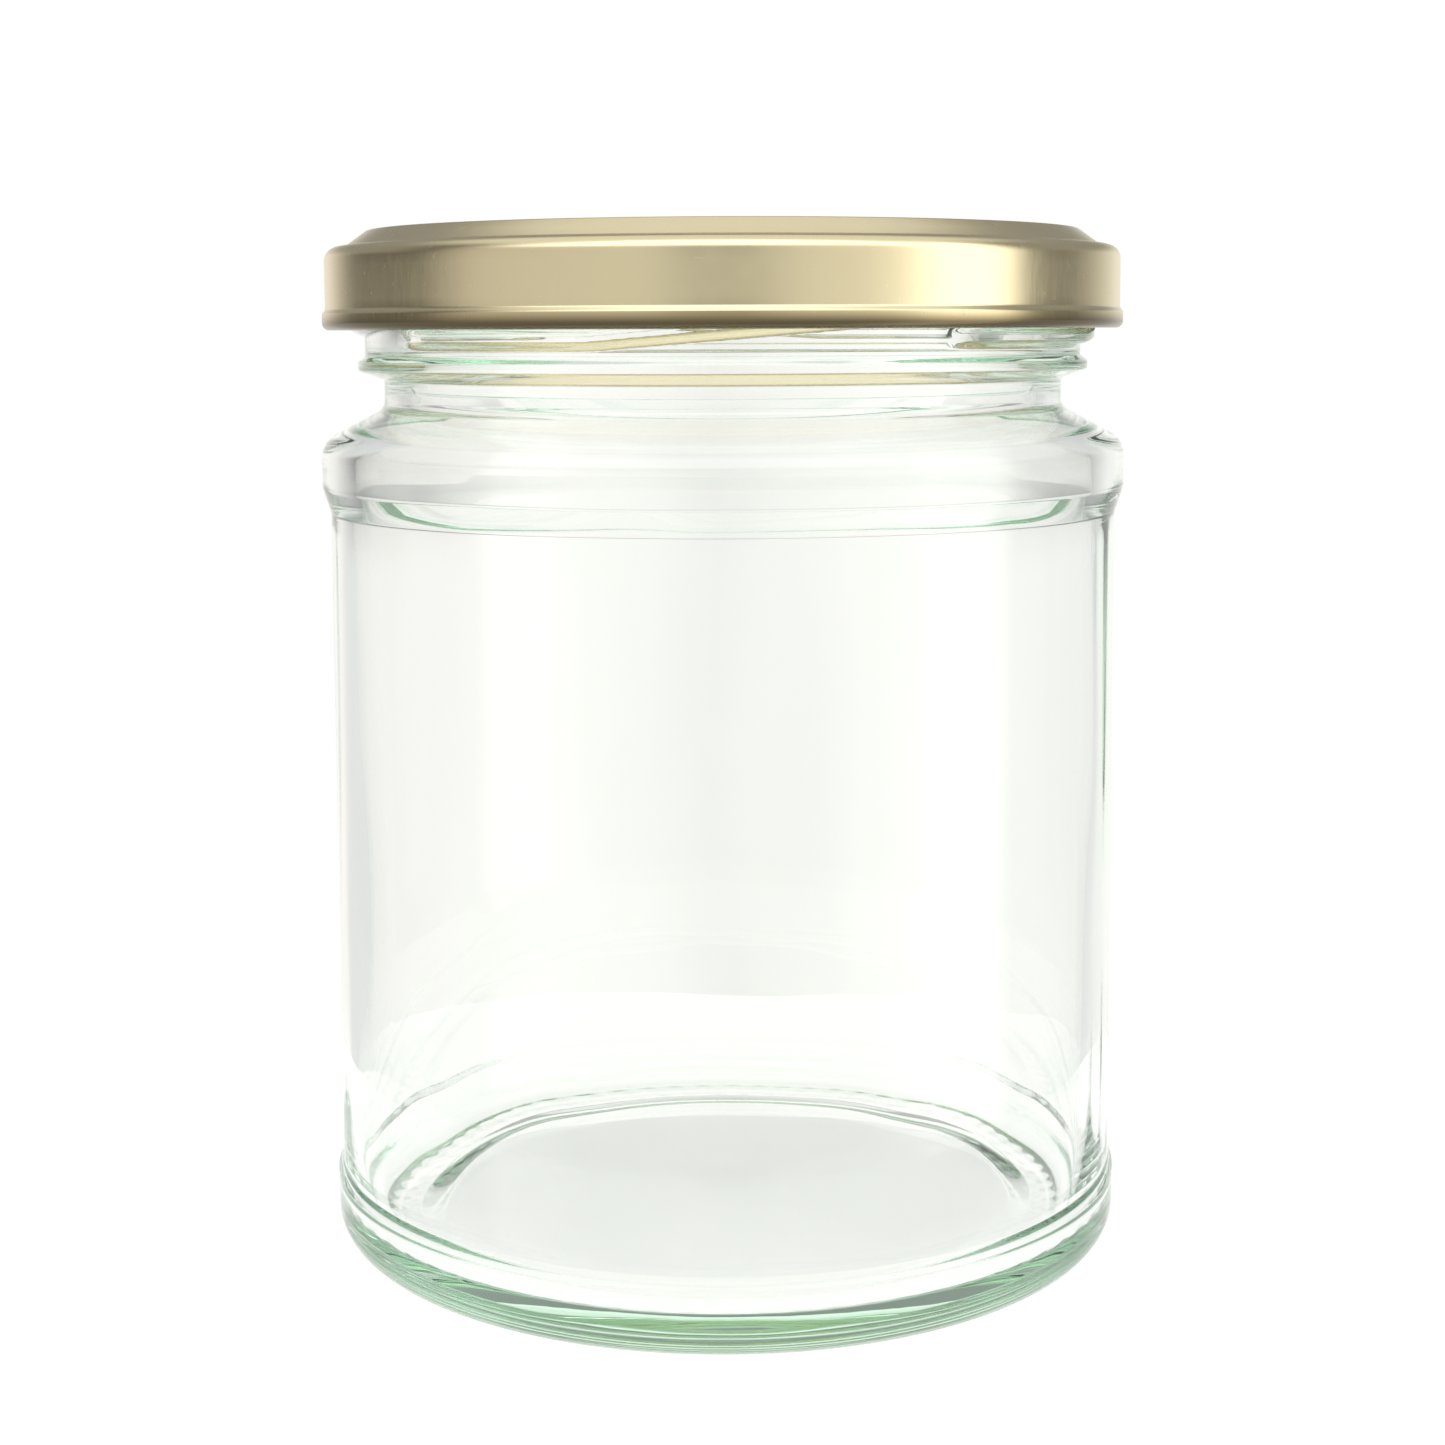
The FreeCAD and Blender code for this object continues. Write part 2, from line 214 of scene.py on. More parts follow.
def noise(tree, where, scale, detail, roughness=0.5):
    """The value of a Noise Texture, about 0.5 on average."""
    node = add_node(tree, "ShaderNodeTexNoise", None, {
        "Vector": where, "Scale": scale, "Detail": detail, "Roughness": roughness})
    return node.outputs["Fac"]


def mix_colors(tree, share, first, second, blend_type="MIX"):
    """A mix of two colours, each given as red, green and blue or as the socket of a colour."""
    colors = {"A": first, "B": second}
    for key, value in colors.items():
        if not isinstance(value, bpy.types.NodeSocket):
            colors[key] = (*value, 1.0)
    node = add_node(tree, "ShaderNodeMix", {"data_type": "RGBA", "blend_type": blend_type},
                    {"Factor": share, **colors})
    return find_socket(node.outputs, "Result")


def new_tree(name, kind, inputs, outputs):
    """A node tree with named inputs, each (name, type, default), and outputs, each (name, type)."""
    tree = bpy.data.node_groups.new(name, kind)
    for label, socket_type, default in inputs:
        socket = tree.interface.new_socket(label, in_out="INPUT", socket_type=socket_type)
        if default is not None:
            socket.default_value = default
    for label, socket_type in outputs:
        tree.interface.new_socket(label, in_out="OUTPUT", socket_type=socket_type)
    return tree, tree.nodes.new("NodeGroupInput"), tree.nodes.new("NodeGroupOutput")


def make_turned_outline():
    """The node group that turns an outline about Z, as a grid of its points by angle."""
    tree, given, result = new_tree(
        "Turned Outline", "GeometryNodeTree",
        [("Outline", "NodeSocketGeometry", None), ("Segments", "NodeSocketInt", 64)],
        [("Surface", "NodeSocketGeometry"), ("Angle", "NodeSocketFloat"), ("Row", "NodeSocketInt")])
    outline, segments = given.outputs["Outline"], given.outputs["Segments"]
    size = add_node(tree, "GeometryNodeAttributeDomainSize", {"component": "MESH"}, {0: outline})
    rows = find_socket(size.outputs, "Point Count")
    columns = calc(tree, "ADD", segments, 1)
    grid = add_node(tree, "GeometryNodeMeshGrid", None, {"Vertices X": columns, "Vertices Y": rows})
    index = tree.nodes.new("GeometryNodeInputIndex").outputs[0]
    column = calc(tree, "FLOOR", calc(tree, "DIVIDE", calc(tree, "ADD", index, 0.5), rows))
    row = calc(tree, "SUBTRACT", index, calc(tree, "MULTIPLY", column, rows))
    angle = calc(tree, "DIVIDE", calc(tree, "MULTIPLY", column, math.tau), segments)
    place = tree.nodes.new("GeometryNodeInputPosition").outputs[0]
    picked = add_node(tree, "GeometryNodeSampleIndex", {"data_type": "FLOAT_VECTOR"},
                      {"Geometry": outline, "Value": place, "Index": row})
    parts = add_node(tree, "ShaderNodeSeparateXYZ", None, {0: find_socket(picked.outputs, "Value")})
    turned = add_node(tree, "ShaderNodeCombineXYZ", None, {
        "X": calc(tree, "MULTIPLY", parts.outputs["X"], calc(tree, "COSINE", angle)),
        "Y": calc(tree, "MULTIPLY", parts.outputs["X"], calc(tree, "SINE", angle)),
        "Z": parts.outputs["Z"]})
    placed = add_node(tree, "GeometryNodeSetPosition", None,
                      {"Geometry": grid.outputs["Mesh"], "Position": turned.outputs[0]})
    tree.links.new(placed.outputs[0], result.inputs["Surface"])
    tree.links.new(angle, result.inputs["Angle"])
    tree.links.new(row, result.inputs["Row"])
    return tree


TURNED_OUTLINE = make_turned_outline()


def start_turned_tree(name, inputs):
    """A tree that turns its object's outline, with its inputs, its output and the turned surface."""
    tree, given, result = new_tree(
        name, "GeometryNodeTree",
        [("Geometry", "NodeSocketGeometry", None), ("Segments", "NodeSocketInt", 64)] + inputs,
        [("Geometry", "NodeSocketGeometry")])
    turned = add_node(tree, "GeometryNodeGroup", {"node_tree": TURNED_OUTLINE},
                      {"Outline": given.outputs["Geometry"], "Segments": given.outputs["Segments"]})
    return tree, given, result, turned


def outline_weight(tree, given, row, mark):
    """The weight of a mark, read from the outline for each point of the turned surface."""
    weight = add_node(tree, "GeometryNodeInputNamedAttribute", {"data_type": "FLOAT"}, {"Name": mark})
    picked = add_node(tree, "GeometryNodeSampleIndex", {"data_type": "FLOAT"},
                      {"Geometry": given.outputs["Geometry"], "Index": row,
                       "Value": find_socket(weight.outputs, "Attribute")})
    return find_socket(picked.outputs, "Value")


def end_turned_tree(tree, result, surface, material):
    """Close seam and poles, shade smoothly and give the surface its material."""
    merged = add_node(tree, "GeometryNodeMergeByDistance", None, {"Geometry": surface, "Distance": WELD})
    smooth = add_node(tree, "GeometryNodeSetShadeSmooth", None, {"Geometry": merged.outputs[0]})
    real = add_node(tree, "GeometryNodeRealizeInstances", None, {"Geometry": smooth.outputs[0]})
    painted = add_node(tree, "GeometryNodeSetMaterial", None,
                       {"Geometry": real.outputs[0], "Material": material})
    tree.links.new(painted.outputs[0], result.inputs["Geometry"])


def grow(piece, tree, values):
    """Run a tree on a piece with its inputs set, and leave the result as the piece's plain mesh."""
    modifier = piece.modifiers.new(tree.name, "NODES")
    modifier.node_group = tree
    named = {item.name: item.identifier for item in tree.interface.items_tree if item.in_out == "INPUT"}
    for name, value in values.items():
        modifier[named[name]] = value
    view = bpy.context.evaluated_depsgraph_get()
    mesh = bpy.data.meshes.new_from_object(piece.evaluated_get(view), depsgraph=view)
    piece.modifiers.clear()
    mesh.name = piece.name
    piece.data = mesh


def moved_radially(tree, surface, angle, outward, upward):
    """Move the points of a turned surface away from the axis and up."""
    shift = add_node(tree, "ShaderNodeCombineXYZ", None, {
        "X": calc(tree, "MULTIPLY", outward, calc(tree, "COSINE", angle)),
        "Y": calc(tree, "MULTIPLY", outward, calc(tree, "SINE", angle)),
        "Z": upward})
    moved = add_node(tree, "GeometryNodeSetPosition", None,
                     {"Geometry": surface, "Offset": shift.outputs[0]})
    return moved.outputs[0]


def thread_section(tree, given, height, angle_in):
    """How much of a thread stands at a height, at an angle from the thread's low end: 0 to 1."""
    span = given.outputs["Span"]
    climb = calc(tree, "MAXIMUM", calc(tree, "SUBTRACT", angle_in, given.outputs["Level Angle"]), 0.0)
    rise = calc(tree, "DIVIDE", calc(tree, "MULTIPLY", climb, given.outputs["Lead"]), math.tau)
    middle = calc(tree, "ADD", given.outputs["Thread Height"], rise)
    off_middle = calc(tree, "ABSOLUTE", calc(tree, "SUBTRACT", height, middle))
    section = ease(tree, off_middle, THREAD_HALF_FOOT, THREAD_HALF_CREST)
    low_end = ease(tree, angle_in, 0.0, THREAD_FADE_IN)
    high_end = ease(tree, angle_in, span, calc(tree, "SUBTRACT", span, THREAD_FADE_OUT))
    return calc(tree, "MULTIPLY", section, calc(tree, "MULTIPLY", low_end, high_end))


def make_jar_tree(material):
    """Turned glass with its threads, mould seams, standing ticks and uneven inner wall."""
    tree, given, result, turned = start_turned_tree("Moulded Jar", [
        ("Starts", "NodeSocketInt", 4), ("Lead", "NodeSocketFloat", 0.0),
        ("First Angle", "NodeSocketFloat", 0.0), ("Level Angle", "NodeSocketFloat", 0.0),
        ("Span", "NodeSocketFloat", 0.0), ("Thread Height", "NodeSocketFloat", 0.0),
        ("Thread Depth", "NodeSocketFloat", 0.0), ("Tick Count", "NodeSocketInt", 60),
        ("Tick Depth", "NodeSocketFloat", 0.0), ("Seam Depth", "NodeSocketFloat", 0.0),
        ("Unevenness", "NodeSocketFloat", 0.0)])
    angle, row = turned.outputs["Angle"], turned.outputs["Row"]
    place = tree.nodes.new("GeometryNodeInputPosition").outputs[0]
    height = add_node(tree, "ShaderNodeSeparateXYZ", None, {0: place}).outputs["Z"]

    pitch = calc(tree, "DIVIDE", math.tau, given.outputs["Starts"])
    from_start = calc(tree, "SUBTRACT", calc(tree, "ADD", angle, math.tau), given.outputs["First Angle"])
    angle_in = calc(tree, "MODULO", from_start, pitch)
    own = thread_section(tree, given, height, angle_in)
    last = thread_section(tree, given, height, calc(tree, "ADD", angle_in, pitch))
    thread = calc(tree, "MULTIPLY", calc(tree, "MAXIMUM", own, last), given.outputs["Thread Depth"])
    thread = calc(tree, "MULTIPLY", thread, outline_weight(tree, given, row, "thread_wall"))

    seam_wave = calc(tree, "ABSOLUTE", calc(tree, "COSINE", calc(tree, "ADD", angle, SEAM_ANGLE)))
    seam = calc(tree, "MULTIPLY", ease(tree, seam_wave, SEAM_EDGE, 1.0), given.outputs["Seam Depth"])
    seam = calc(tree, "MULTIPLY", seam, outline_weight(tree, given, row, "outer_wall"))

    stretched = add_node(tree, "ShaderNodeVectorMath", {"operation": "MULTIPLY"},
                         {0: place, 1: UNEVEN_STRETCH})
    around_zero = calc(tree, "SUBTRACT", noise(tree, stretched.outputs[0], 55.0, 1.0, 0.4), 0.5)
    wave = calc(tree, "MULTIPLY", around_zero, given.outputs["Unevenness"])
    wave = calc(tree, "MULTIPLY", wave, outline_weight(tree, given, row, "inner_wall"))
    outward = calc(tree, "ADD", calc(tree, "ADD", thread, seam), wave)

    ticks = calc(tree, "COSINE", calc(tree, "MULTIPLY", angle, given.outputs["Tick Count"]))
    hollow = calc(tree, "MULTIPLY", ease(tree, ticks, -0.4, 0.9), given.outputs["Tick Depth"])
    upward = calc(tree, "MULTIPLY", hollow, outline_weight(tree, given, row, "standing_ring"))

    surface = moved_radially(tree, turned.outputs["Surface"], angle, outward, upward)
    end_turned_tree(tree, result, surface, material)
    return tree


def make_glass_surface():
    """Node group for moulded glass: a slow ripple, fine pits, and a thin uneven haze."""
    tree, given, result = new_tree(
        "Moulded Glass Surface", "ShaderNodeTree",
        [("Ripple Scale", "NodeSocketFloat", 90.0), ("Haze", "NodeSocketFloat", 0.02),
         ("Tint", "NodeSocketColor", (0.95, 0.99, 0.96, 1.0))],
        [("Color", "NodeSocketColor"), ("Roughness", "NodeSocketFloat"), ("Height", "NodeSocketFloat")])
    where = tree.nodes.new("ShaderNodeTexCoord").outputs["Object"]
    stretch = add_node(tree, "ShaderNodeMapping", None, {"Vector": where, "Scale": (1.0, 1.0, 0.3)})
    ripple = noise(tree, stretch.outputs[0], given.outputs["Ripple Scale"], 1.5)
    pits = noise(tree, where, 700.0, 1.0)
    height = calc(tree, "ADD", ripple, calc(tree, "MULTIPLY", pits, 0.02))
    patch = noise(tree, where, 140.0, 4.0)
    haze = calc(tree, "MULTIPLY", ease(tree, patch, 0.45, 0.75), given.outputs["Haze"])
    color = mix_colors(tree, patch, (1.0, 1.0, 1.0), given.outputs["Tint"])
    tree.links.new(color, result.inputs["Color"])
    tree.links.new(haze, result.inputs["Roughness"])
    tree.links.new(height, result.inputs["Height"])
    return tree


def new_material(name):
    """A material with an empty tree and its output node."""
    material = bpy.data.materials.new(name)
    material.use_nodes = True
    material.node_tree.nodes.clear()
    return material, material.node_tree, material.node_tree.nodes.new("ShaderNodeOutputMaterial")


def make_glass():
    """Pale green soda-lime glass: clear through the wall, greener where it is thick."""
    material, tree, out = new_material("moulded_soda_lime_glass")
    skin = add_node(tree, "ShaderNodeGroup", {"node_tree": make_glass_surface()},
                    {"Ripple Scale": 90.0, "Haze": 0.015, "Tint": (0.985, 0.99, 0.975, 1.0)})
    bump = add_node(tree, "ShaderNodeBump", None,
                    {"Height": skin.outputs["Height"], "Strength": 0.06, "Distance": 0.4 * MM})
    glass = add_node(tree, "ShaderNodeBsdfPrincipled", None, {
        "Base Color": skin.outputs["Color"], "Roughness": skin.outputs["Roughness"], "IOR": 1.52,
        "Transmission Weight": 1.0, "Normal": bump.outputs[0]})
    clear = add_node(tree, "ShaderNodeBsdfTransparent", None, {"Color": (0.985, 0.99, 0.985, 1.0)})
    path = tree.nodes.new("ShaderNodeLightPath")
    mix = add_node(tree, "ShaderNodeMixShader", None,
                   {0: path.outputs["Is Shadow Ray"], 1: glass.outputs[0], 2: clear.outputs[0]})
    tree.links.new(mix.outputs[0], out.inputs["Surface"])
    body = add_node(tree, "ShaderNodeVolumeAbsorption", None,
                    {"Color": (0.20, 0.85, 0.42, 1.0), "Density": 6.0})
    tree.links.new(body.outputs[0], out.inputs["Volume"])
    return material


jar_outline = rounded_outline([
    (0.0, PUSH_UP_MIDDLE, 0, 6, ""),
    (PUSH_UP_RADIUS, PUSH_UP_EDGE, 6.0 * MM, 3, ""),
    (STANDING_RADIUS, 0.0, 2.0 * MM, 8, "standing_ring"),
    (HEEL_RADIUS, 0.0, HEEL_ROUND, 3, ""),
    (HEEL_RADIUS, HEEL_HEAD, SOFT, 2, ""),
    (PANEL_RADIUS, PANEL_FOOT, SOFT, 16, "outer_wall"),
    (PANEL_RADIUS, PANEL_HEAD, GENTLE, 2, ""),
    (SHOULDER_RADIUS, SHOULDER_FOOT, GENTLE, 3, ""),
    (SHOULDER_RADIUS, SHOULDER_HEAD, 2.3 * MM, 3, ""),
    (NECK_RADIUS, NECK_FOOT, GENTLE, 2, ""),
    (NECK_RADIUS, NECK_HEAD, SOFT, 3, ""),
    (RING_RADIUS, RING_FOOT, CRISP, 2, ""),
    (RING_RADIUS, RING_HEAD, CRISP, 2, ""),
    (FINISH_RADIUS, FINISH_FOOT, CRISP, 70, "thread_wall"),
    (FINISH_RADIUS, RIM_HEIGHT, 1.0 * MM, 2, ""),
    (BORE_RADIUS, RIM_HEIGHT, 0.8 * MM, 4, ""),
    (BORE_RADIUS, BORE_FOOT, INNER_ROUND, 3, ""),
    (NECK_BORE_RADIUS, NECK_BORE_HEAD, INNER_ROUND, 2, ""),
    (NECK_BORE_RADIUS, NECK_BORE_FOOT, INNER_ROUND, 3, ""),
    (INNER_WALL, INNER_WALL_HEAD, 2.2 * MM, 34, "inner_wall"),
    (INNER_WALL, INNER_WALL_FOOT, HEEL_ROUND, 10, ""),
    (0.0, INNER_BASE_MIDDLE, 0, 0, ""),
])
glass_piece = outline_object(
    "moulded_glass_jar", jar_outline, ["thread_wall", "outer_wall", "inner_wall", "standing_ring"])
grow(glass_piece, make_jar_tree(make_glass()), {
    "Segments": JAR_SEGMENTS, "Starts": THREAD_STARTS, "Lead": THREAD_LEAD,
    "First Angle": FIRST_THREAD, "Level Angle": THREAD_LEVEL, "Span": THREAD_SPAN,
    "Thread Height": THREAD_HEIGHT, "Thread Depth": THREAD_DEPTH,
    "Tick Count": TICK_COUNT, "Tick Depth": TICK_DEPTH,
    "Seam Depth": SEAM_DEPTH, "Unevenness": UNEVENNESS})
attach(glass_piece, "jar")
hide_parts("jar_glass")


# ---------------------------------------------------------------------------------------------------
# The sealing ring. Soft off-white compound, flowed as a liquid into the lid's raised ring and baked
# there. The rim of the glass leaves a shallow groove in it.

seal_low, seal_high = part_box("sealing_gasket")
SEAL_OUTER = seal_high.x
SEAL_INNER = SEAL_OUTER - 3.6 * MM
SEAL_SEGMENTS = 240
SEAL_ROUND = 0.25 * MM
SEAL_EDGE_ROUND = 0.08 * MM
INNER_FACE_MIDDLE = seal_high.z - 0.3 * MM
RIM_MIDDLE = (FINISH_RADIUS + BORE_RADIUS) / 2
GROOVE_HALF_MOUTH = 1.0 * MM
GROOVE_HALF_BOTTOM = 0.7 * MM
GROOVE_TOP = seal_low.z + 0.12 * MM
GROOVE_ROUND = 0.2 * MM


def make_compound():
    """Baked sealing compound: off-white, matt, faintly mottled and pitted."""
    material, tree, out = new_material("flowed_sealing_compound")
    where = tree.nodes.new("ShaderNodeTexCoord").outputs["Object"]
    mottle = noise(tree, where, 260.0, 4.0)
    pits = add_node(tree, "ShaderNodeTexVoronoi", None, {"Vector": where, "Scale": 1500.0})
    tone = mix_colors(tree, mottle, (0.80, 0.76, 0.66), (0.90, 0.87, 0.79))
    bump = add_node(tree, "ShaderNodeBump", None,
                    {"Height": pits.outputs["Distance"], "Strength": 0.25, "Distance": 0.05 * MM})
    rough = calc(tree, "ADD", 0.42, calc(tree, "MULTIPLY", mottle, 0.25))
    body = add_node(tree, "ShaderNodeBsdfPrincipled", None, {
        "Base Color": tone, "Roughness": rough, "Normal": bump.outputs[0],
        "Subsurface Weight": 0.15, "Subsurface Scale": 0.5 * MM})
    tree.links.new(body.outputs[0], out.inputs["Surface"])
    return material


def make_plain_turned_tree(name, material):
    """A turned outline with nothing added."""
    tree, _, result, turned = start_turned_tree(name, [])
    end_turned_tree(tree, result, turned.outputs["Surface"], material)
    return tree


seal_section = rounded_outline([
    (SEAL_INNER, INNER_FACE_MIDDLE, 0, 2, ""),
    (SEAL_INNER, seal_low.z, SEAL_ROUND, 3, ""),
    (RIM_MIDDLE - GROOVE_HALF_MOUTH, seal_low.z, GROOVE_ROUND, 1, ""),
    (RIM_MIDDLE - GROOVE_HALF_BOTTOM, GROOVE_TOP, GROOVE_ROUND, 3, ""),
    (RIM_MIDDLE + GROOVE_HALF_BOTTOM, GROOVE_TOP, GROOVE_ROUND, 1, ""),
    (RIM_MIDDLE + GROOVE_HALF_MOUTH, seal_low.z, GROOVE_ROUND, 3, ""),
    (SEAL_OUTER, seal_low.z, SEAL_EDGE_ROUND, 1, ""),
    (SEAL_OUTER, seal_low.z + 0.2 * MM, SEAL_EDGE_ROUND, 3, ""),
    (SEAL_OUTER - 1.1 * MM, seal_high.z, 0.1 * MM, 4, ""),
    (SEAL_INNER, seal_high.z, SEAL_ROUND, 2, ""),
    (SEAL_INNER, INNER_FACE_MIDDLE, 0, 0, ""),
])
seal_piece = outline_object("sealing_compound_ring", seal_section, [])
grow(seal_piece, make_plain_turned_tree("Flowed Ring", make_compound()), {"Segments": SEAL_SEGMENTS})
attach(seal_piece, "seal")
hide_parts("sealing_gasket")


# ---------------------------------------------------------------------------------------------------
# The lid. One disc of tinplate, lacquered pale gold on both sides, pressed to a raised ring and a skirt.
# Its edge is rolled into a curl, and four stretches of the curl are pressed inwards as lugs.

lid_low, lid_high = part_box("lid_shell")
LID_SEGMENTS = 360
CURL_RADIUS = lid_high.x
LID_TOP = lid_high.z
CURL_BOTTOM = lid_low.z
SKIRT_RADIUS = CURL_RADIUS - 0.28 * MM
SHEET = 0.25 * MM
PRESS_ROUND = 0.4 * MM

# The top: a sunken panel inside a raised ring, and a slope down to the skirt.
PANEL_HEIGHT = LID_TOP - 0.95 * MM
PANEL_EDGE = 28.8 * MM
RAISED_INNER = 29.5 * MM
RAISED_OUTER = 32.6 * MM
SLOPE_END = 34.5 * MM

# The curl, which is rolled inwards, and its lugs.
CURL_WIDTH = 1.4 * MM
CURL_INNER = CURL_RADIUS - CURL_WIDTH
CURL_END = CURL_BOTTOM + 1.35 * MM
CURL_ROUND = 0.65 * MM
CURL_MIDDLE = CURL_BOTTOM + 0.7 * MM
LUG_REACH = 1.95 * MM
LUG_WIDTH = math.radians(17)
LUG_EDGE = math.radians(2.5)
LUG_SQUEEZE = 0.36
FIRST_LUG = math.radians(40.7)

GOLD = ((0.82, 0.72, 0.47), (0.88, 0.80, 0.56))
# Painted shade: a darker bronze band over the lower curl.
CURL_SHADE_GOLD = (0.46, 0.38, 0.22)
# Painted shade: near black on the underside of the curl.
UNDER_CURL_SHADE = (0.13, 0.105, 0.06)


def thickened(points, thickness):
    """The section of a sheet whose outer face has these points: first the face to their right."""
    inner = []
    for i, (point, mark, weight) in enumerate(points):
        before = points[max(i - 1, 0)][0]
        after = points[min(i + 1, len(points) - 1)][0]
        along = (after - before).normalized()
        inner.append((point + Vector((along.y, -along.x)) * thickness, mark, weight))
    return inner + points[::-1]


def make_lid_tree(material):
    """Turned sheet with lugs: at each lug the inner half of the curl is drawn inwards and flattened."""
    tree, given, result, turned = start_turned_tree("Pressed Lid", [
        ("Lug Count", "NodeSocketInt", 4), ("First Lug", "NodeSocketFloat", 0.0),
        ("Lug Width", "NodeSocketFloat", 0.0), ("Lug Reach", "NodeSocketFloat", 0.0)])
    angle = turned.outputs["Angle"]
    place = tree.nodes.new("GeometryNodeInputPosition").outputs[0]
    parts = add_node(tree, "ShaderNodeSeparateXYZ", None, {0: place})
    height = parts.outputs["Z"]
    flat = add_node(tree, "ShaderNodeCombineXYZ", None,
                    {"X": parts.outputs["X"], "Y": parts.outputs["Y"]})
    length = add_node(tree, "ShaderNodeVectorMath", {"operation": "LENGTH"}, {0: flat.outputs[0]})
    radius = length.outputs["Value"]

    half_lug = calc(tree, "MULTIPLY", given.outputs["Lug Width"], 0.5)
    middle = calc(tree, "ADD", given.outputs["First Lug"], half_lug)
    pitch = calc(tree, "DIVIDE", math.tau, given.outputs["Lug Count"])
    half_pitch = calc(tree, "MULTIPLY", pitch, 0.5)
    from_middle = calc(tree, "SUBTRACT", calc(tree, "ADD", angle, math.tau), middle)
    from_gap = calc(tree, "MODULO", calc(tree, "ADD", from_middle, half_pitch), pitch)
    swing = calc(tree, "ABSOLUTE", calc(tree, "SUBTRACT", from_gap, half_pitch))
    on_lug = ease(tree, swing, half_lug, calc(tree, "SUBTRACT", half_lug, LUG_EDGE))

    low_down = ease(tree, height, CURL_BOTTOM + 1.7 * MM, CURL_BOTTOM + 1.4 * MM)
    inward = ease(tree, radius, CURL_RADIUS - 0.45 * MM, CURL_INNER)
    pressed = calc(tree, "MULTIPLY", on_lug, calc(tree, "MULTIPLY", low_down, inward))
    reach = calc(tree, "MULTIPLY", pressed, given.outputs["Lug Reach"])
    outward = calc(tree, "MULTIPLY", reach, -1.0)
    squeeze = calc(tree, "MULTIPLY", calc(tree, "SUBTRACT", CURL_MIDDLE, height), LUG_SQUEEZE)
    upward = calc(tree, "MULTIPLY", squeeze, pressed)
    surface = moved_radially(tree, turned.outputs["Surface"], angle, outward, upward)
    end_turned_tree(tree, result, surface, material)
    return tree


def make_lacquer():
    """Satin pale gold lacquer on rolled tinplate: fine grain, faint scratches, painted shade on the lower
    curl, near black underneath.
    """
    material, tree, out = new_material("gold_lacquered_tinplate")
    where = tree.nodes.new("ShaderNodeTexCoord").outputs["Object"]
    along = add_node(tree, "ShaderNodeMapping", None, {"Vector": where, "Scale": (1.0, 14.0, 1.0)})
    grain = noise(tree, along.outputs[0], 420.0, 3.0)
    cloud = noise(tree, where, 60.0, 3.0)
    scratch_map = add_node(tree, "ShaderNodeMapping", None,
                           {"Vector": where, "Rotation": (0.3, 0.2, 0.7), "Scale": (3.0, 160.0, 60.0)})
    scratched = ease(tree, noise(tree, scratch_map.outputs[0], 22.0, 2.0), 0.69, 0.75)
    height = add_node(tree, "ShaderNodeSeparateXYZ", None, {0: where}).outputs["Z"]

    color = mix_colors(tree, cloud, *GOLD)
    # Painted shade: the lower curl turns darker bronze, by height.
    curl_shade = ease(tree, height, CURL_BOTTOM + 1.75 * MM, CURL_BOTTOM + 0.9 * MM)
    color = mix_colors(tree, curl_shade, color, CURL_SHADE_GOLD)
    # Painted shade under the curl: the lowest half millimetre turns near black.
    under_curl_shade = ease(tree, height, CURL_BOTTOM + 1.15 * MM, CURL_BOTTOM + 0.45 * MM)
    color = mix_colors(tree, under_curl_shade, color, UNDER_CURL_SHADE)
    rough = calc(tree, "ADD", 0.20, calc(tree, "MULTIPLY", grain, 0.10))
    rough = calc(tree, "ADD", rough, calc(tree, "MULTIPLY", scratched, 0.08))
    relief = calc(tree, "SUBTRACT", calc(tree, "MULTIPLY", grain, 0.5), scratched)
    bump = add_node(tree, "ShaderNodeBump", None,
                    {"Height": relief, "Strength": 0.10, "Distance": 0.02 * MM})
    sheet = add_node(tree, "ShaderNodeBsdfPrincipled", None, {
        "Base Color": color, "Metallic": 1.0, "Roughness": rough, "Normal": bump.outputs[0],
        "Coat Weight": 0.25, "Coat Roughness": 0.22, "Coat Tint": (1.0, 0.93, 0.72, 1.0)})
    tree.links.new(sheet.outputs[0], out.inputs["Surface"])
    return material


lid_face = rounded_outline([
    (0.0, PANEL_HEIGHT, 0, 6, ""),
    (PANEL_EDGE, PANEL_HEIGHT, PRESS_ROUND, 1, ""),
    (RAISED_INNER, LID_TOP, PRESS_ROUND, 3, ""),
    (RAISED_OUTER, LID_TOP, PRESS_ROUND, 2, ""),
    (SLOPE_END, LID_TOP - 1.4 * MM, PRESS_ROUND, 2, ""),
    (SKIRT_RADIUS, LID_TOP - 1.55 * MM, 1.25 * MM, 6, ""),
    (SKIRT_RADIUS, CURL_BOTTOM + 1.85 * MM, PRESS_ROUND, 2, ""),
    (CURL_RADIUS, CURL_BOTTOM + 1.45 * MM, PRESS_ROUND, 2, ""),
    (CURL_RADIUS, CURL_BOTTOM, CURL_ROUND, 1, ""),
    (CURL_INNER, CURL_BOTTOM, CURL_ROUND, 1, ""),
    (CURL_INNER, CURL_END, PRESS_ROUND, 1, ""),
    (CURL_INNER + 0.5 * MM, CURL_END, 0, 0, ""),
])
lid_piece = outline_object("pressed_gold_lid", thickened(lid_face, SHEET), [])
grow(lid_piece, make_lid_tree(make_lacquer()), {
    "Segments": LID_SEGMENTS, "Lug Count": THREAD_STARTS, "First Lug": FIRST_LUG,
    "Lug Width": LUG_WIDTH, "Lug Reach": LUG_REACH})
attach(lid_piece, "lid")
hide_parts("lid_shell")


# ---------------------------------------------------------------------------------------------------
# The studio: a small round light table, a white surround with darker flats and one bright window at the
# side, and a camera at the height of the lid's lower edge. Glass needs many light bounces.

FLOOR_RADIUS = 80 * MM
FLOOR_DROP = 0.03 * MM
FLOOR_SIDES = 96
TABLE_GLOW = 0.93

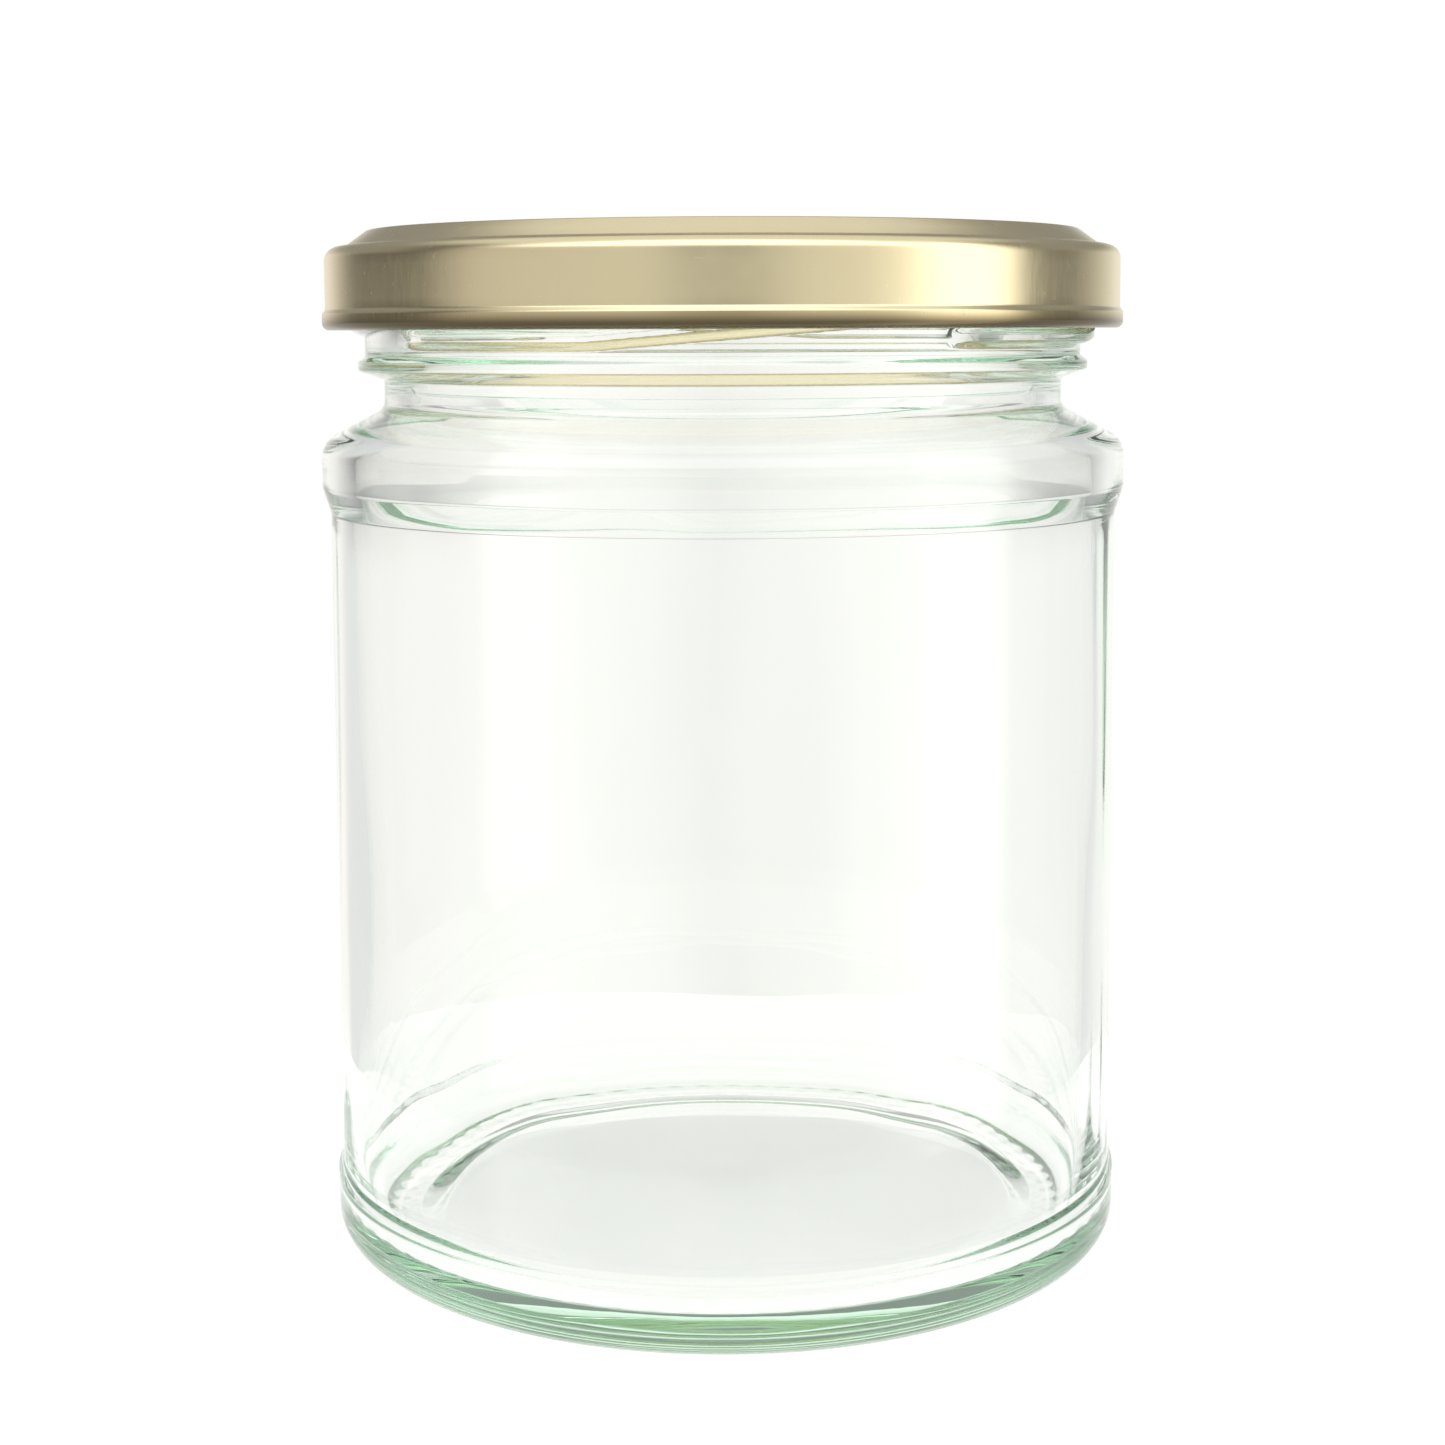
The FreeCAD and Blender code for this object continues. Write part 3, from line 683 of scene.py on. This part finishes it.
# Brightness round the jar, by degrees from the front towards +X.
FLATS = [
    (-180, 0.95), (-176, 1.04), (-150, 0.97), (-128, 0.14), (-92, 0.10), (-72, 0.62),
    (-20, 0.72), (-8, 0.45), (8, 0.45), (20, 0.75), (44, 0.85), (54, 1.2),
    (62, 1.9), (84, 1.9), (94, 0.14), (115, 0.14), (150, 0.97), (176, 1.04),
]
BRIGHTEST = 2.5
WARM_WALL_SPAN = (-175, -60)
WARM_WALL = (1.0, 0.955, 0.93)
WARM_WHITE = (1.0, 0.99, 0.965)
DARK_BACK = 0.28
LOW_LIGHT = 0.78
SOFTBOX = 1.9
OVERHEAD = 0.85

CAMERA_DISTANCE = 230 * MM
CAMERA_HEIGHT = CURL_BOTTOM
CAMERA_PITCH = math.radians(5.76)
CAMERA_ROLL = math.radians(0.21)
CAMERA_LENS = 61.5
CAMERA_SHIFT = -0.10
GLASS_BOUNCES = 40


def make_floor():
    """A round light table. It lies a hair below the glass, so that the two never share a plane."""
    mesh = bpy.data.meshes.new("studio_floor")
    turns = [math.tau * i / FLOOR_SIDES for i in range(FLOOR_SIDES)]
    rim = [(FLOOR_RADIUS * math.cos(turn), FLOOR_RADIUS * math.sin(turn), -FLOOR_DROP) for turn in turns]
    mesh.from_pydata(rim, [], [tuple(range(len(rim)))])
    floor = bpy.data.objects.new("studio_floor", mesh)
    bpy.context.scene.collection.objects.link(floor)
    material, tree, out = new_material("pale_studio_floor")
    paper = add_node(tree, "ShaderNodeBsdfPrincipled", None, {
        "Base Color": (0.18, 0.18, 0.175, 1.0), "Roughness": 0.8, "Specular IOR Level": 0.1,
        "Emission Color": (1.0, 1.0, 0.985, 1.0), "Emission Strength": TABLE_GLOW})
    tree.links.new(paper.outputs[0], out.inputs["Surface"])
    mesh.materials.append(material)
    return floor


def add_flats(tree, back, right):
    """The light of the flats as a colour, by direction."""
    turn = calc(tree, "ARCTAN2", right, calc(tree, "MULTIPLY", back, -1.0))
    share = calc(tree, "ADD", calc(tree, "DIVIDE", turn, math.tau), 0.5)
    node = add_node(tree, "ShaderNodeValToRGB", None, {0: share})
    stops = node.color_ramp.elements
    for i, (degrees, bright) in enumerate(FLATS):
        place = (degrees + 180) / 360
        tint = WARM_WALL if WARM_WALL_SPAN[0] < degrees < WARM_WALL_SPAN[1] else WARM_WHITE
        stop = stops[0] if i == 0 else stops.new(place)
        stop.position = place
        stop.color = [channel * bright / BRIGHTEST for channel in tint] + [1.0]
    stops[-1].color = stops[0].color
    scaled = add_node(tree, "ShaderNodeVectorMath", {"operation": "SCALE"},
                      {0: node.outputs["Color"], "Scale": BRIGHTEST})
    return scaled.outputs[0]


def grey(bright):
    """A colour without hue."""
    return (bright, bright, bright)


def make_surround():
    """The light round the jar, by direction. Seen by the camera itself, it is plain white."""
    world = bpy.data.worlds.new("studio_surround")
    world.use_nodes = True
    tree = world.node_tree
    tree.nodes.clear()
    direction = tree.nodes.new("ShaderNodeTexCoord").outputs["Generated"]
    parts = add_node(tree, "ShaderNodeSeparateXYZ", None, {0: direction})
    back, up = parts.outputs["Y"], parts.outputs["Z"]
    level = add_flats(tree, back, parts.outputs["X"])

    lighter = mix_colors(tree, 1.0, level, grey(LOW_LIGHT), "LIGHTEN")
    level = mix_colors(tree, ease(tree, up, 0.0, -0.10), level, lighter)
    dark_back = calc(tree, "MULTIPLY", ease(tree, up, 0.10, 0.30), ease(tree, back, 0.0, 0.4))
    level = mix_colors(tree, dark_back, level, grey(DARK_BACK))
    overhead = calc(tree, "MULTIPLY", ease(tree, up, 0.60, 0.85), ease(tree, back, 0.75, 0.50))
    level = mix_colors(tree, overhead, level, grey(OVERHEAD))
    softbox = calc(tree, "MULTIPLY", ease(tree, up, 0.42, 0.60), ease(tree, back, -0.15, -0.45))
    level = mix_colors(tree, softbox, level, grey(SOFTBOX))
    path = tree.nodes.new("ShaderNodeLightPath")
    level = mix_colors(tree, path.outputs["Is Camera Ray"], level, grey(1.0))
    light = add_node(tree, "ShaderNodeBackground", None, {"Color": level, "Strength": 1.0})
    out = tree.nodes.new("ShaderNodeOutputWorld")
    tree.links.new(light.outputs[0], out.inputs["Surface"])
    bpy.context.scene.world = world


make_floor()
make_surround()

camera_data = bpy.data.cameras.new("studio_camera")
camera_data.lens = CAMERA_LENS
camera_data.shift_y = CAMERA_SHIFT
camera_data.clip_start = 0.01
camera_data.clip_end = 50.0
camera = bpy.data.objects.new("studio_camera", camera_data)
camera.location = (0.0, -CAMERA_DISTANCE, CAMERA_HEIGHT)
camera.rotation_euler = (math.radians(90) - CAMERA_PITCH, CAMERA_ROLL, 0.0)
bpy.context.scene.collection.objects.link(camera)
bpy.context.scene.camera = camera
bpy.context.scene.view_settings.view_transform = "Standard"
bpy.context.scene.cycles.max_bounces = GLASS_BOUNCES
bpy.context.scene.cycles.transmission_bounces = GLASS_BOUNCES
bpy.context.scene.cycles.glossy_bounces = GLASS_BOUNCES
